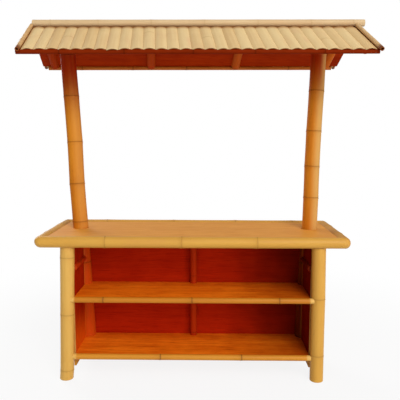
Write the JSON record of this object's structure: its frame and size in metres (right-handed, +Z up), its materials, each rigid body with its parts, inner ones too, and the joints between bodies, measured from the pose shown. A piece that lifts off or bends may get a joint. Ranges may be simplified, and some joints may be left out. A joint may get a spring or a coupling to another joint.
{
  "type": "bamboo tiki bar",
  "caption": "Free-standing bamboo bar: pole-edged counter over open shelves, with tall posts carrying a gabled roof of split-bamboo tiles.",
  "frame": {"origin": "on the floor, under the middle of the roof", "axes": "+X along the counter to the right, +Y from the open-shelf side to the customers' side, +Z up"},
  "size_m": [2.0594, 0.7982, 2.1409],
  "materials": {
    "counter_wood": "varnished board, satin",
    "frame_bamboo": "varnished bamboo, satin",
    "roof_bamboo": "dry split bamboo, satin",
    "roof_board": "red-brown stained board",
    "shaded_bamboo": "stained bamboo, satin",
    "shelf_wood": "varnished board, satin",
    "trim_bamboo": "varnished bamboo, satin",
    "wall_bamboo": "varnished split bamboo, satin",
    "wall_wood": "red-brown stained board"
  },
  "bodies": {
    "root": {"back_eave_pole": "shaded_bamboo", "back_left_barge_pole": "trim_bamboo", "back_rafters": "shaded_bamboo", "back_right_barge_pole": "trim_bamboo", "back_roof_boards": "roof_board", "back_roof_tiles": "roof_bamboo", "back_wall": "wall_wood", "back_wall_slats": "wall_bamboo", "centre_upright": "frame_bamboo", "counter_back_pole": "frame_bamboo", "counter_front_pole": "frame_bamboo", "counter_left_pole": "frame_bamboo", "counter_right_pole": "frame_bamboo", "counter_top_board": "counter_wood", "front_eave_pole": "shaded_bamboo", "front_left_barge_pole": "trim_bamboo", "front_rafters": "shaded_bamboo", "front_right_barge_pole": "trim_bamboo", "front_roof_boards": "roof_board", "front_roof_tiles": "roof_bamboo", "left_counter_bearer": "frame_bamboo", "left_front_leg": "frame_bamboo", "left_post": "frame_bamboo", "left_side_rail": "frame_bamboo", "left_side_wall": "wall_wood", "lower_shelf_board": "shelf_wood", "lower_shelf_cleats": "shelf_wood", "lower_shelf_front_pole": "frame_bamboo", "ridge_beam": "shaded_bamboo", "ridge_pole": "trim_bamboo", "right_counter_bearer": "frame_bamboo", "right_front_leg": "frame_bamboo", "right_post": "frame_bamboo", "right_side_rail": "frame_bamboo", "right_side_wall": "wall_wood", "upper_shelf_board": "shelf_wood", "upper_shelf_cleats": "shelf_wood", "upper_shelf_front_pole": "frame_bamboo"}
  },
  "joints": []
}
